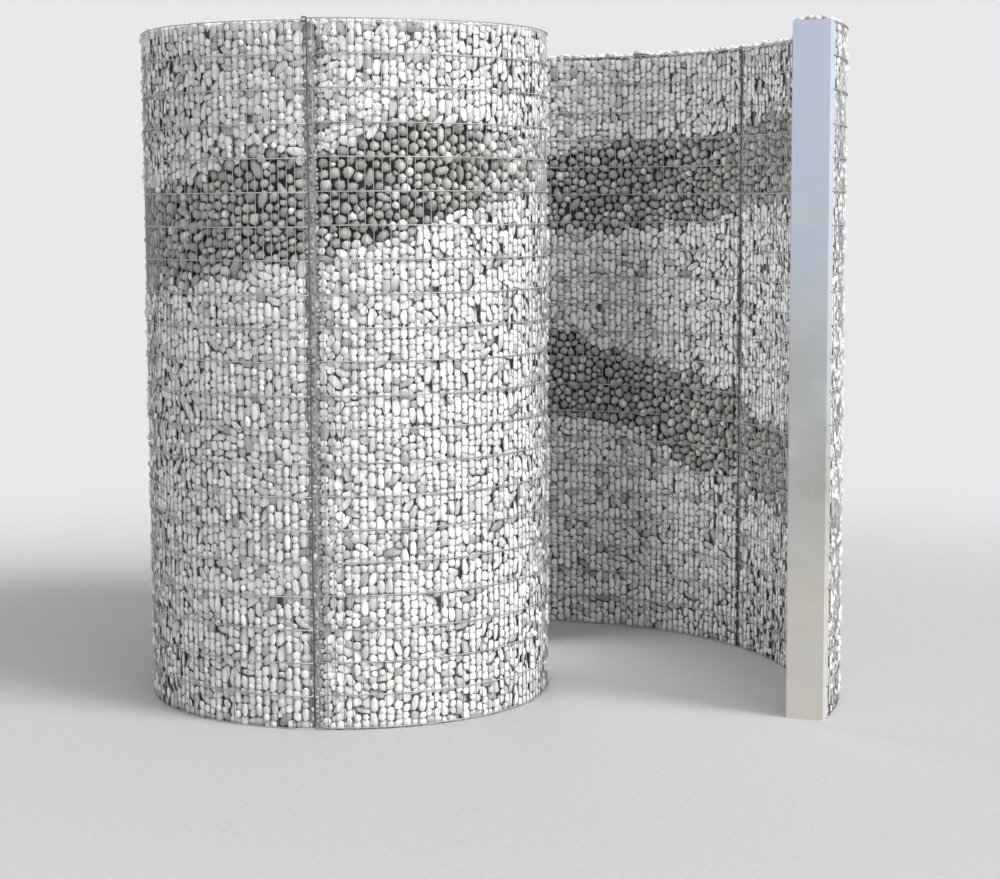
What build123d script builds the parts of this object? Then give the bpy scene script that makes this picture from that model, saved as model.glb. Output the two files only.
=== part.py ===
from build123d import *
import os
from math import cos, degrees, radians, sin

# Spiral gabion wall, millimetres, +Z up, standing on z = 0.
# The plan is a three-centre spiral. Places along it are lengths on the middle line of the wall,
# counted from the outer end, and offsets from that line, positive towards the outside.

# Welded mesh
ROW_PITCH = 100.0          # one mesh opening, wire to wire, upwards
ROWS = 21                  # mesh openings between the lowest and the top wire
WIRE = 4.0                 # wire thickness
WALL_DEPTH = 128.0         # outer wire face to inner wire face
HOOP_EVERY = 3             # every third level wire is built, which ends on the lowest and the top one
UPRIGHT_STEP = 100.0       # about every fourth upright wire is built
SEAM_GAP = 2.0             # between the ends of the level wires of two neighbouring bays
EDGE_WIRE_COVER = 6.0      # middle of a bay's edge upright, in from the side of the seam post
WIRE_FIT = 0.25            # seating gap on each side of an upright, a rod and a flange

# Plan of the middle line
BACK_RADIUS = 1343.0
SIDE_RADIUS = 1051.0
FRONT_RADIUS = 582.0
OUTER_END_ANGLE = -23.5    # where the back arc starts, from +X towards +Y
BACK_TO_SIDE_ANGLE = 22.8
SIDE_TO_FRONT_ANGLE = 195.6
FIRST_BAY = 1181.0         # length of the bay behind the outer end cap
BAY_LENGTH = 1255.0        # length of each of the other bays
LATER_BAYS = 4

# Stone fill
CROWN = 14.0               # heap of the stones above their shoulders
RIDGE = 50.0               # width of the level top of the heap
SHOULDER_DROP = 2.0        # shoulders of the fill below the top of the mesh

# Post at each seam, a hollow section closed on top
POST_DEPTH = 80.0
POST_WIDTH = 40.0
POST_SHEET = 3.0
POST_DROP = 7.0            # below the top of the mesh

# Locking rods with an eye, one on each face of a seam
ROD = 5.0
ROD_SIDES = 8              # facets of a rod's section
EYE_OPENING = 8.0
EYE_SIDES = 12             # sides of the ring
ROD_FOOT = 6.0             # above the ground

# End caps, folded channels
CAP_SHEET = 2.5
CAP_FLANGE = 45.0
CAP_FOLD = 4.0             # outer radius of the fold
CAP_RISE = 3.0             # above the top of the mesh
WIRE_LAP = 17.0            # how far the level wires run on over a flange
FIT = 0.2                  # seating gap between pieces that touch along a curve

MESH_HEIGHT = ROWS * ROW_PITCH + WIRE
HALF = WALL_DEPTH / 2
HOOP_FACE = HALF - WIRE
FILL_HALF = HOOP_FACE - WIRE
EDGE_WIRE_INSET = POST_WIDTH / 2 - EDGE_WIRE_COVER
SEAMS = [FIRST_BAY + i * BAY_LENGTH for i in range(LATER_BAYS)]
LENGTH = FIRST_BAY + LATER_BAYS * BAY_LENGTH
STATIONS = [0.0, *SEAMS, LENGTH]
BAYS = LATER_BAYS + 1


def polar(centre, radius, angle):
    """Point at an angle in degrees on a circle."""
    return (centre[0] + radius * cos(radians(angle)), centre[1] + radius * sin(radians(angle)))


def plan_arcs():
    """The arcs of the middle line as (centre, radius, start angle, end angle, start length).

    Each centre lies on the line through the last centre and the joint, so the arcs meet in a
    common tangent, and the front arc is as long as the bays ask.
    """
    radii = (BACK_RADIUS, SIDE_RADIUS, FRONT_RADIUS)
    turns = (OUTER_END_ANGLE, BACK_TO_SIDE_ANGLE, SIDE_TO_FRONT_ANGLE)
    centre, length, arcs = (0.0, 0.0), 0.0, []
    for i, radius in enumerate(radii):
        if i:
            centre = polar(centre, radii[i - 1] - radius, turns[i])
        if i < len(radii) - 1:
            end = turns[i + 1]
        else:
            end = turns[i] + degrees((LENGTH - length) / radius)
        arcs.append((centre, radius, turns[i], end, length))
        length += radians(end - turns[i]) * radius
    return arcs


ARCS = plan_arcs()


def spans(start, end):
    """The stretches of the arcs between two lengths, as (centre, radius, angle, angle)."""
    found = []
    for centre, radius, first, last, at in ARCS:
        low = max(start, at)
        high = min(end, at + radians(last - first) * radius)
        if high - low > 1e-6:
            found.append((centre, radius, first + degrees((low - at) / radius),
                          first + degrees((high - at) / radius)))
    return found


def station(length):
    """The plane at a length: x runs outwards, y along the wall towards the inner end, z up."""
    for centre, radius, first, last, at in ARCS:
        if length <= at + radians(last - first) * radius + 1e-6:
            break
    angle = first + degrees((length - at) / radius)
    x, y = polar(centre, radius, angle)
    return Plane(origin=(x, y, 0), x_dir=(cos(radians(angle)), sin(radians(angle)), 0), z_dir=(0, 0, 1))


def along(profile, start, end):
    """Carry a profile along the wall.

    profile makes the section as a face whose x is the offset and whose y is the height, and each
    stretch of arc turns it about its own centre.
    """
    solids = []
    for centre, radius, first, last in spans(start, end):
        outwards = Vector(cos(radians(first)), sin(radians(first)), 0)
        at = Vector(*centre, 0) + outwards * radius
        plane = Plane(origin=at, x_dir=outwards, z_dir=outwards.cross(Vector(0, 0, 1)))
        solids.append(revolve(plane * profile, Axis((*centre, 0), (0, 0, 1)), last - first))
    return solids[0] if len(solids) == 1 else solids[0].fuse(*solids[1:]).clean()


def bar(low_offset, high_offset, low_z, high_z):
    """A rectangular section between two offsets and two heights."""
    return Pos((low_offset + high_offset) / 2, (low_z + high_z) / 2) * Rectangle(
        high_offset - low_offset, high_z - low_z)


def fill_section():
    """The section of the stones: upright sides and a low heap on top."""
    shoulder = MESH_HEIGHT - SHOULDER_DROP
    ridge = shoulder + CROWN
    return make_face(Polyline((FILL_HALF, shoulder), (FILL_HALF, 0), (-FILL_HALF, 0), (-FILL_HALF, shoulder),
                              (-RIDGE / 2, ridge), (RIDGE / 2, ridge), close=True))


def seam_block(length, width, depth, height):
    """A block standing across the wall at a seam."""
    return station(length) * Pos(0, 0, height / 2) * Box(depth, width, height)


def stone_fill(bay):
    """The stones of one bay, between the posts or caps at its two ends."""
    start, end = STATIONS[bay], STATIONS[bay + 1]
    first = start + CAP_SHEET + FIT if bay == 0 else start
    last = end - CAP_SHEET - FIT if bay == BAYS - 1 else end
    stones = along(fill_section(), first, last)
    for seam in SEAMS:
        if seam in (start, end):
            stones -= seam_block(seam, POST_WIDTH, 2 * WALL_DEPTH, 2 * MESH_HEIGHT)
    return stones


def upright_places(bay):
    """Lengths of a bay's uprights, evenly spaced between its edge wires."""
    start, end = STATIONS[bay], STATIONS[bay + 1]
    first = CAP_FLANGE + WIRE if bay == 0 else start + EDGE_WIRE_INSET
    last = end - CAP_FLANGE - WIRE if bay == BAYS - 1 else end - EDGE_WIRE_INSET
    count = max(1, round((last - first) / UPRIGHT_STEP))
    return [first + (last - first) * i / count for i in range(count + 1)]


def hoops(bay, side):
    """Level wires of one face of a bay; side is 1 outside and -1 inside.

    A wire runs straight from upright to upright, and its ends reach a seam or lap over a flange.
    """
    start, end = STATIONS[bay], STATIONS[bay + 1]
    first = CAP_FLANGE - WIRE_LAP if bay == 0 else start + SEAM_GAP / 2
    last = end - CAP_FLANGE + WIRE_LAP if bay == BAYS - 1 else end - SEAM_GAP / 2
    places = [station(length) for length in (first, *upright_places(bay), last)]
    outer_line = [place.from_local_coords((side * HALF, 0, 0)) for place in places]
    inner_line = [place.from_local_coords((side * HOOP_FACE, 0, 0)) for place in places]
    wire = extrude(make_face(Polyline(*outer_line, *reversed(inner_line), close=True)), WIRE, dir=(0, 0, 1))
    return [Pos(0, 0, row * ROW_PITCH) * wire for row in range(0, ROWS + 1, HOOP_EVERY)]


def uprights(bay, side):
    """Upright wires of one face of a bay, behind its level wires."""
    place = Pos(side * (HOOP_FACE - WIRE / 2), 0, MESH_HEIGHT / 2)
    wire = Box(WIRE - 2 * WIRE_FIT, WIRE, MESH_HEIGHT)
    return [station(length) * place * wire for length in upright_places(bay)]


def seam_post(seam):
    """Hollow section post inside the wall, open below and closed by a plate on top."""
    height = MESH_HEIGHT - POST_DROP
    tube = seam_block(seam, POST_WIDTH, POST_DEPTH, height)
    bore = seam_block(seam, POST_WIDTH - 2 * POST_SHEET, POST_DEPTH - 2 * POST_SHEET, height - POST_SHEET)
    return tube - bore


def locking_rod(seam, side):
    """Rod behind the ends of the level wires, with an eye at the height of the top wire."""
    eye_radius = EYE_OPENING / 2 + ROD
    eye_height = ROWS * ROW_PITCH + WIRE / 2
    place = station(seam) * Pos(side * (HOOP_FACE - WIRE_FIT - ROD / 2), 0, 0)
    section = RegularPolygon(ROD / 2, ROD_SIDES, major_radius=False, rotation=180 / ROD_SIDES)
    stem = Pos(0, 0, ROD_FOOT) * extrude(section, eye_height - eye_radius + ROD / 2 - ROD_FOOT)
    ring = RegularPolygon(eye_radius, EYE_SIDES) - RegularPolygon(EYE_OPENING / 2, EYE_SIDES)
    eye = Pos(0, 0, eye_height) * Rot(0, 90, 0) * extrude(ring, ROD / 2, both=True)
    return place * (stem + eye)


def end_cap(outer):
    """Folded channel over one end of the wall, its flanges under the ends of the level wires."""
    start, end = (0.0, CAP_FLANGE) if outer else (LENGTH - CAP_FLANGE, LENGTH)
    inner_start = CAP_SHEET if outer else start - CAP_SHEET
    inner_end = end + CAP_SHEET if outer else LENGTH - CAP_SHEET
    height = MESH_HEIGHT + CAP_RISE
    face = HOOP_FACE - WIRE_FIT
    block = along(bar(-face, face, 0, height), start, end)
    edge_plane = station(0.0 if outer else LENGTH)
    corners = [e for e in block.edges().filter_by(Axis.Z)
               if abs(edge_plane.to_local_coords(e.center()).Y) < CAP_SHEET]
    block = fillet(corners, CAP_FOLD)
    inside = bar(-face + CAP_SHEET, face - CAP_SHEET, -height, 2 * height)
    hollow = along(inside, max(inner_start, 0.0), min(inner_end, LENGTH))
    return block - hollow


def node(name, *solids):
    """Collect the solids of one node."""
    nodes[name] = list(solids)


nodes = {}
node("outer_end_cap", end_cap(True))
for bay in range(BAYS):
    node(f"stone_fill_bay_{bay + 1}", stone_fill(bay))
    for side, face in ((1, "outer"), (-1, "inner")):
        node(f"{face}_hoops_bay_{bay + 1}", *hoops(bay, side))
        node(f"{face}_uprights_bay_{bay + 1}", *uprights(bay, side))
for number, seam in enumerate(SEAMS, 1):
    node(f"seam_post_{number}", seam_post(seam))
    node(f"locking_rods_seam_{number}", locking_rod(seam, 1), locking_rod(seam, -1))
node("inner_end_cap", end_cap(False))

# The origin goes to the middle of the whole wall's box, on the ground.
boxes = [piece.bounding_box() for pieces in nodes.values() for piece in pieces]
middle_x = (min(b.min.X for b in boxes) + max(b.max.X for b in boxes)) / 2
middle_y = (min(b.min.Y for b in boxes) + max(b.max.Y for b in boxes)) / 2

os.makedirs("parts", exist_ok=True)
for name, pieces in nodes.items():
    solids = [Pos(-middle_x, -middle_y, 0) * solid for piece in pieces for solid in piece.solids()]
    export_step(Compound(solids), f"parts/{name}.step")
print("middle of the box", round(middle_x, 3), round(middle_y, 3), "wall length", round(LENGTH, 1))
print("arc centres", [tuple(round(c[i] - (middle_x, middle_y)[i], 2) for i in (0, 1)) for c, *_ in ARCS])
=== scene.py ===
"""Spiral gabion wall: curved baskets of welded mesh, filled with pebbles, on a pale studio floor.

Everything is in metres in the CAD frame. A place on the wall is a length along its middle line, counted
from the outer end, an offset across it, positive outwards, and a height.
"""
import logging
from dataclasses import dataclass, field, replace
from enum import Enum
from math import pi, radians

import bpy
import numpy as np
from mathutils import Matrix, Vector

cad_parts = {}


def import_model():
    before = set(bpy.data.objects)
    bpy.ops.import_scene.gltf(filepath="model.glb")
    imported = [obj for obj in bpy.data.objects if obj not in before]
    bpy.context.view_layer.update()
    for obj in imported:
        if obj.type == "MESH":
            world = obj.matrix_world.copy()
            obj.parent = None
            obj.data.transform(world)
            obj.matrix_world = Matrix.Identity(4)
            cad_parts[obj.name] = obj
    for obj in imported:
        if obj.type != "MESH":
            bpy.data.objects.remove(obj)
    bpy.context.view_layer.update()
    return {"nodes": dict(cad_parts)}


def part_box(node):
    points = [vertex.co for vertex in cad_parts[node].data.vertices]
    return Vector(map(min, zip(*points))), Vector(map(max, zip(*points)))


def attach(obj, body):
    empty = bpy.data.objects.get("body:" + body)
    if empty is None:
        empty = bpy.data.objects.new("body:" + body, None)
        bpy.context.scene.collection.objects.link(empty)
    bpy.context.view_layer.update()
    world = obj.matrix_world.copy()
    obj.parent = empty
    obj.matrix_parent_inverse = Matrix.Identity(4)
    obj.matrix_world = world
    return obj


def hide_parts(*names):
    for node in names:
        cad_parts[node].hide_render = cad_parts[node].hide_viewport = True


log = logging.getLogger("gabion")
Array = np.ndarray
Pair = tuple[float, float]
Triple = tuple[float, float, float]
Piece = bpy.types.Object
Material = bpy.types.Material
Socket = bpy.types.NodeSocket


class Face(Enum):
    """The two mesh faces of the wall; the value is the sign of their offset."""

    OUTER = 1
    INNER = -1

    @property
    def word(self) -> str:
        """The face's word in piece names."""
        return self.name.lower()


@dataclass(frozen=True)
class Section:
    """Sizes across the wall and up it."""

    level_wire: float = 0.062
    upright_wire: float = 0.058
    stone_face: float = 0.056
    wire: float = 0.004
    pitch: float = 0.1
    rows: int = 21
    upright_pitch: float = 0.025
    upright_radius: float = 0.0013
    post_half: float = 0.020
    edge_wire: float = 0.014
    cap_flange: float = 0.045
    cap_half: float = 0.05975
    flange_gap: float = 0.004
    wire_lap: float = 0.017
    seam_gap: float = 0.002

    @property
    def top(self) -> float:
        """Top of the uppermost level wire."""
        return self.rows * self.pitch + self.wire


@dataclass(frozen=True)
class Plan:
    """The three-centre spiral of the middle line: arcs that meet in a common tangent."""

    centre: Pair
    radii: Triple = (1.343, 1.051, 0.582)
    turns: Triple = (radians(-23.5), radians(22.8), radians(195.6))
    first_bay: float = 1.181
    bay: float = 1.255
    bays: int = 5

    @classmethod
    def from_cap(cls, highest: Vector, flange: float, half: float) -> "Plan":
        """Find the back arc's centre from the outer end cap's box.

        The cap reaches furthest in x at the outer corner of its flange's edge, and furthest in y at
        the inner one, so each gives one coordinate of the centre.

        Args:
            highest: Highest corner of the cap's box.
            flange: Length of the cap's flange along the wall.
            half: Half the cap's width.

        Returns:
            The plan with its place in the frame.
        """
        radius = cls.radii[0]
        edge = cls.turns[0] + flange / radius
        x = highest[0] - (radius + half) * np.cos(edge)
        y = highest[1] - (radius - half) * np.sin(edge)
        return cls((float(x), float(y)))

    @property
    def length(self) -> float:
        """Length of the whole middle line."""
        return self.first_bay + (self.bays - 1) * self.bay

    @property
    def stations(self) -> list[float]:
        """Lengths of the outer end, the seams and the inner end."""
        return [0.0] + [self.first_bay + i * self.bay for i in range(self.bays)]

    def run(self, bay: int, cap: float, after: float, before: float) -> Pair:
        """Where something of a bay starts and ends on the middle line.

        Args:
            bay: Number of the bay from 0.
            cap: How far it stays from the wall's own ends.
            after: How far past the bay's first seam it starts.
            before: How far short of the bay's last seam it ends.

        Returns:
            The start and the end.
        """
        start = cap if bay == 0 else self.stations[bay] + after
        return start, self.stations[bay + 1] - (cap if bay == self.bays - 1 else before)

    def arcs(self) -> tuple[Array, Array, Array, Array]:
        """Work out the arcs.

        Each next centre is the last one moved along the joint's direction by the difference of the
        radii, and each next start length adds radius times turn.

        Returns:
            Centres, radii, start angles and start lengths.
        """
        radii, turns = np.array(self.radii), np.array(self.turns)
        joints = np.stack([np.cos(turns[1:]), np.sin(turns[1:])], axis=1)
        steps = (radii[:-1] - radii[1:])[:, None] * joints
        centres = np.vstack([self.centre, np.array(self.centre) + np.cumsum(steps, axis=0)])
        starts = np.concatenate([[0.0], np.cumsum(radii[:-1] * np.diff(turns))])
        return centres, radii, turns, starts

    def angle(self, length: Array) -> tuple[Array, Array]:
        """The direction at a length: the arc's start angle plus the length past its start over its radius.

        Args:
            length: Lengths along the middle line.

        Returns:
            The arc's number and the direction angle at each length.
        """
        _, radii, turns, starts = self.arcs()
        number = np.clip(np.searchsorted(starts, length, side="right") - 1, 0, len(radii) - 1)
        return number, turns[number] + (length - starts[number]) / radii[number]

    def place(self, length: Array, offset: Array, height: Array) -> Array:
        """Points in the frame: the arc's centre plus radius and offset along the outward direction.

        Args:
            length: Lengths along the middle line.
            offset: Offsets across the wall, positive outwards.
            height: Heights above the ground.

        Returns:
            Points with a last axis of three.
        """
        length, offset, height = np.broadcast_arrays(length, offset, height)
        centres, radii, _, _ = self.arcs()
        number, angle = self.angle(length)
        reach = radii[number] + offset
        x = centres[number, 0] + reach * np.cos(angle)
        y = centres[number, 1] + reach * np.sin(angle)
        return np.stack([x, y, height], axis=-1)

    def outwards(self, length: Array) -> Array:
        """Unit vectors across the wall, away from the arc's centre."""
        _, angle = self.angle(np.asarray(length, dtype=float))
        return np.stack([np.cos(angle), np.sin(angle), np.zeros_like(angle)], axis=-1)

    def _measure(self, offset: float) -> tuple[Array, Array]:
        """Matching lengths on the middle line and along a face, at the arcs' ends and well beyond them.

        Args:
            offset: The face's offset.

        Returns:
            Lengths on the middle line, and along the face.
        """
        beyond = 1.0
        _, radii, _, starts = self.arcs()
        middle = np.concatenate([[-beyond], starts[1:], [self.length + beyond]])
        face = np.concatenate([[0.0], np.cumsum(np.diff(middle) * (radii + offset) / radii)])
        return middle, face - beyond * (radii[0] + offset) / radii[0]

    def to_face(self, length: Array, offset: float) -> Array:
        """Lengths along a face, where the middle line's length is scaled by radius plus offset."""
        middle, face = self._measure(offset)
        return np.interp(length, middle, face)

    def to_middle(self, length: Array, offset: float) -> Array:
        """Lengths on the middle line for lengths along a face."""
        middle, face = self._measure(offset)
        return np.interp(length, face, middle)


@dataclass(frozen=True)
class DarkBand:
    """A wavy layer of dark stones: its lower and upper edge as (length, height) points."""

    low: tuple[Pair, ...]
    high: tuple[Pair, ...]

    def edges(self, length: Array) -> tuple[Array, Array]:
        """Heights of the lower and the upper edge, each read straight between its points."""
        low, high = np.array(self.low), np.array(self.high)
        return np.interp(length, low[:, 0], low[:, 1]), np.interp(length, high[:, 0], high[:, 1])

    def holds(self, length: Array, height: Array) -> Array:
        """True where a place lies between the two edges."""
        low, high = self.edges(length)
        return (height > low) & (height < high)


OUTER_BAND = DarkBand(
    low=((0.0, 1.85), (0.3, 1.82), (0.7, 1.55), (1.2, 1.40), (1.8, 1.31), (2.5, 1.38), (3.1, 1.46),
         (3.7, 1.37), (4.14, 1.315), (4.65, 1.363), (4.92, 1.412), (5.09, 1.452), (5.20, 1.484),
         (5.28, 1.524), (5.58, 1.589), (5.8, 1.606), (6.2, 1.60)),
    high=((0.0, 1.85), (0.3, 1.86), (0.7, 1.80), (1.2, 1.68), (1.8, 1.58), (2.5, 1.64), (3.1, 1.73),
          (3.7, 1.65), (4.14, 1.595), (4.385, 1.609), (4.55, 1.625), (4.66, 1.656), (4.75, 1.693),
          (4.83, 1.715), (4.92, 1.691), (4.99, 1.708), (5.09, 1.746), (5.17, 1.795), (5.46, 1.80),
          (5.65, 1.773), (6.2, 1.75)),
)
INNER_HIGH_BAND = DarkBand(
    low=((0.0, 1.60), (0.73, 1.583), (1.05, 1.567), (1.17, 1.544), (1.36, 1.508), (1.49, 1.49),
         (1.82, 1.472), (2.07, 1.472), (2.8, 1.42), (3.6, 1.36), (4.4, 1.33), (5.2, 1.45), (6.2, 1.50)),
    high=((0.0, 1.88), (1.06, 1.864), (1.18, 1.834), (1.43, 1.81), (1.6, 1.803), (1.77, 1.799),
          (1.92, 1.765), (2.07, 1.741), (2.8, 1.70), (3.6, 1.64), (4.4, 1.60), (5.2, 1.72), (6.2, 1.78)),
)
INNER_LOW_BAND = DarkBand(
    low=((0.0, 0.50), (0.76, 0.519), (1.06, 0.547), (1.18, 0.573), (1.33, 0.605), (1.47, 0.622),
         (1.54, 0.669), (1.66, 0.72), (1.79, 0.762), (1.96, 0.768), (2.07, 0.795), (2.8, 0.80),
         (3.6, 0.70), (4.4, 0.60), (5.2, 0.55), (6.2, 0.60)),
    high=((0.0, 0.78), (0.77, 0.799), (1.07, 0.831), (1.21, 0.912), (1.35, 0.938), (1.6, 0.977),
          (1.71, 1.003), (1.89, 1.024), (1.97, 1.104), (2.07, 1.092), (2.8, 1.05), (3.6, 0.95),
          (4.4, 0.86), (5.2, 0.82), (6.2, 0.88)),
)
BANDS = {Face.OUTER: (OUTER_BAND,), Face.INNER: (INNER_HIGH_BAND, INNER_LOW_BAND)}


def in_bands(face: Face, length: Array, height: Array) -> Array:
    """True where a place on a face lies in one of its dark bands."""
    return np.any([band.holds(length, height) for band in BANDS[face]], axis=0)


class Number:
    """A number socket for use in Python expressions; each operation adds one Math node."""

    def __init__(self, graph: "Graph", socket: Socket) -> None:
        """Wrap a socket of a graph."""
        self.graph = graph
        self.socket = socket

    def _math(self, operation: str, first: object, second: object = 0.0) -> "Number":
        """Add one Math node on two values, either of which may be a plain number."""
        node = self.graph.add("ShaderNodeMath", {"operation": operation}, {0: first, 1: second})
        return Number(self.graph, node.outputs[0])

    def __add__(self, other: object) -> "Number":
        """Sum."""
        return self._math("ADD", self, other)

    __radd__ = __add__

    def __mul__(self, other: object) -> "Number":
        """Product."""
        return self._math("MULTIPLY", self, other)

    __rmul__ = __mul__

    def __sub__(self, other: object) -> "Number":
        """Difference."""
        return self._math("SUBTRACT", self, other)

    def __rsub__(self, other: object) -> "Number":
        """Difference with this value taken away."""
        return self._math("SUBTRACT", other, self)

    def __abs__(self) -> "Number":
        """Size without the sign."""
        return self._math("ABSOLUTE", self)

    def ramp(self, low: float, high: float, start: float = 0.0, end: float = 1.0) -> "Number":
        """Go smoothly from start at low to end at high, and stay there on either side."""
        node = self.graph.add("ShaderNodeMapRange", {"interpolation_type": "SMOOTHSTEP"},
                              {0: self, 1: low, 2: high, 3: start, 4: end})
        return Number(self.graph, node.outputs[0])


class Graph:
    """The nodes of one material or world; every node is added by one method."""

    def __init__(self, tree: bpy.types.NodeTree) -> None:
        """Start from an empty tree."""
        self.tree = tree
        tree.nodes.clear()

    def add(self, kind: str, settings: dict | None = None, inputs: dict | None = None) -> bpy.types.Node:
        """Add a node.

        Args:
            kind: The node's type.
            settings: Its own settings; "stops" is a colour ramp's list of (position, colour).
            inputs: Values or links of its sockets, by name or number.

        Returns:
            The node.
        """
        node = self.tree.nodes.new(kind)
        for key, value in (settings or {}).items():
            if key == "stops":
                self._stops(node.color_ramp, value)
            else:
                setattr(node, key, value)
        for key, value in (inputs or {}).items():
            value = value.socket if isinstance(value, Number) else value
            if isinstance(value, Socket):
                self.tree.links.new(value, node.inputs[key])
            else:
                node.inputs[key].default_value = value
        return node

    @staticmethod
    def _stops(ramp: bpy.types.ColorRamp, stops: list[tuple[float, Triple]]) -> None:
        """Give a colour ramp its stops.

        Args:
            ramp: The ramp.
            stops: Positions and colours.
        """
        while len(ramp.elements) < len(stops):
            ramp.elements.new(1.0)
        for element, (position, colour) in zip(ramp.elements, stops):
            element.position = position
            element.color = (*colour, 1.0)

    def place(self) -> Socket:
        """Object coordinates."""
        return self.add("ShaderNodeTexCoord").outputs["Object"]

    def height(self) -> Number:
        """Height above the ground."""
        node = self.add("ShaderNodeSeparateXYZ", inputs={0: self.place()})
        return Number(self, node.outputs["Z"])

    def attribute(self, name: str) -> Number:
        """A number attribute of the mesh."""
        node = self.add("ShaderNodeAttribute", {"attribute_name": name})
        return Number(self, node.outputs["Fac"])

    def shifted(self, place: Socket, by: Number, amount: float) -> Socket:
        """Move a place by a number times an amount, the same along each axis."""
        node = self.add("ShaderNodeVectorMath", {"operation": "ADD"}, {0: place, 1: by * amount})
        return node.outputs[0]

    def noise(self, place: Socket, scale: float, detail: float = 2.0, rough: float = 0.5) -> Number:
        """Noise between 0 and 1, about 0.5."""
        inputs = {"Vector": place, "Scale": scale, "Detail": detail, "Roughness": rough}
        return Number(self, self.add("ShaderNodeTexNoise", inputs=inputs).outputs[0])

    def colours(self, value: Number, stops: list[tuple[float, Triple]]) -> Socket:
        """A colour ramp."""
        return self.add("ShaderNodeValToRGB", {"stops": stops}, {0: value}).outputs[0]

    def mix(self, factor: object, first: object, second: object, blend: str = "MIX") -> Socket:
        """Mix two colours."""
        settings = {"data_type": "RGBA", "blend_type": blend}
        return self.add("ShaderNodeMix", settings, {0: factor, 6: first, 7: second}).outputs[2]

    def bump(self, height: Number, strength: float, distance: float) -> Socket:
        """A normal tilted by a height."""
        inputs = {"Strength": strength, "Distance": distance, "Height": height}
        return self.add("ShaderNodeBump", inputs=inputs).outputs[0]

    def surface(self, **inputs: object) -> None:
        """Finish a material with one Principled shader; underscores in names stand for spaces."""
        named = {key.replace("_", " "): value for key, value in inputs.items()}
        shader = self.add("ShaderNodeBsdfPrincipled", inputs=named)
        self.add("ShaderNodeOutputMaterial", inputs={0: shader.outputs[0]})


def grey(level: float, warm: float = 0.0) -> tuple[float, float, float, float]:
    """A grey, a little warm or cool."""
    return (level * (1 + warm), level, level * (1 - warm), 1.0)


def new_material(name: str) -> tuple[Material, Graph]:
    """Make an empty node material.

    Args:
        name: The material's name.

    Returns:
        The material and its graph.
    """
    material = bpy.data.materials.new(name)
    material.use_nodes = True
    return material, Graph(material.node_tree)


@dataclass(frozen=True)
class PebbleFinish:
    """White and dark river pebbles: each its own shade, with veins, pitting and painted shade at the dark
    ones' rims.
    """

    veins: float = 55.0
    grain: float = 420.0
    pits: float = 150.0

    def make(self) -> Material:
        """Build the material from the attributes tint, shade, dark and rim of each stone.

        Returns:
            The material.
        """
        material, g = new_material("pebbles")
        tint, shade, dark, rim = (g.attribute(name) for name in ("tint", "shade", "dark", "rim"))
        place = g.shifted(g.place(), tint, 3.7)
        cloud = g.noise(place, self.veins * 0.6, 3.0, 0.55)
        vein = abs(g.noise(place, self.veins, 3.0, 0.6) - 0.5)
        light = g.colours(tint, [
            (0.0, (0.44, 0.43, 0.435)), (0.09, (0.61, 0.60, 0.61)), (0.26, (0.74, 0.73, 0.745)),
            (0.48, (0.83, 0.82, 0.825)), (0.80, (0.89, 0.88, 0.885)), (0.90, (0.86, 0.85, 0.82)),
            (0.96, (0.80, 0.785, 0.74)), (1.0, (0.82, 0.805, 0.84))])
        grime = (vein.ramp(0.0, 0.05, 1.0, 0.0) * shade.ramp(0.45, 0.8) + cloud.ramp(0.52, 0.75) * 0.35)
        light = g.mix(grime * 0.45, light, (0.50, 0.49, 0.50, 1.0))
        deep = g.colours(tint, [
            (0.0, (0.30, 0.295, 0.28)), (0.25, (0.41, 0.40, 0.375)), (0.60, (0.52, 0.505, 0.475)),
            (0.85, (0.61, 0.59, 0.555)), (1.0, (0.70, 0.675, 0.64))])
        deep = g.mix(cloud.ramp(0.35, 0.7) * 0.5, deep, (0.42, 0.41, 0.385, 1.0))
        # Painted shade: each dark stone darkens towards its rim, where it turns into the joints.
        deep = g.mix(rim, deep, (0.55, 0.54, 0.52, 1.0), "MULTIPLY")
        colour = g.mix(dark, light, deep)
        grain = g.noise(place, self.grain, 3.0, 0.6)
        relief = g.noise(place, self.pits, 3.0, 0.55) + grain * 0.25
        g.surface(Base_Color=colour, Roughness=grain.ramp(0.3, 0.7, 0.42, 0.72),
                  Normal=g.bump(relief, 0.4, 0.002))
        return material


@dataclass(frozen=True)
class CorePaintedShade:
    """The stones further in, painted as the shade of the joints: greys darker than the pebbles."""

    level: float = 0.32
    band_painted_shade: float = 0.03

    def make(self) -> Material:
        """Build the material: mottled grey painted shade, near black where the attribute dark is set.

        Returns:
            The material.
        """
        material, g = new_material("painted_shade_core")
        spots = g.noise(g.place(), 45.0, 2.0)
        # Painted shade: these greys stand for the unlit stones further in, near black behind the dark
        # bands.
        level = g.mix(g.attribute("dark"), grey(self.level), grey(self.band_painted_shade))
        colour = g.mix(spots.ramp(0.35, 0.65), level, (0.45, 0.44, 0.43, 1.0), "MULTIPLY")
        g.surface(Base_Color=colour, Roughness=0.9, Normal=g.bump(spots, 0.8, 0.01))
        return material


@dataclass(frozen=True)
class GalvanisedFinish:
    """Dull zinc on steel: mottled grey with cloudy stains."""

    name: str
    level: float = 0.42
    metal: float = 0.55
    spangle: float = 160.0

    def make(self) -> Material:
        """Build the material.

        Returns:
            The material.
        """
        material, g = new_material(self.name)
        place = g.place()
        cloud = g.noise(place, 14.0, 3.0, 0.6)
        spot = g.noise(place, self.spangle, 2.0)
        colour = g.mix(cloud.ramp(0.3, 0.7), grey(self.level * 0.82, 0.02), grey(self.level * 1.15, -0.01))
        colour = g.mix(spot.ramp(0.5, 0.75) * 0.5, colour, grey(self.level * 1.5, 0.01))
        g.surface(Base_Color=colour, Metallic=self.metal, Roughness=cloud.ramp(0.3, 0.7, 0.42, 0.62),
                  Normal=g.bump(spot, 0.3, 0.0006))
        return material


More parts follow.
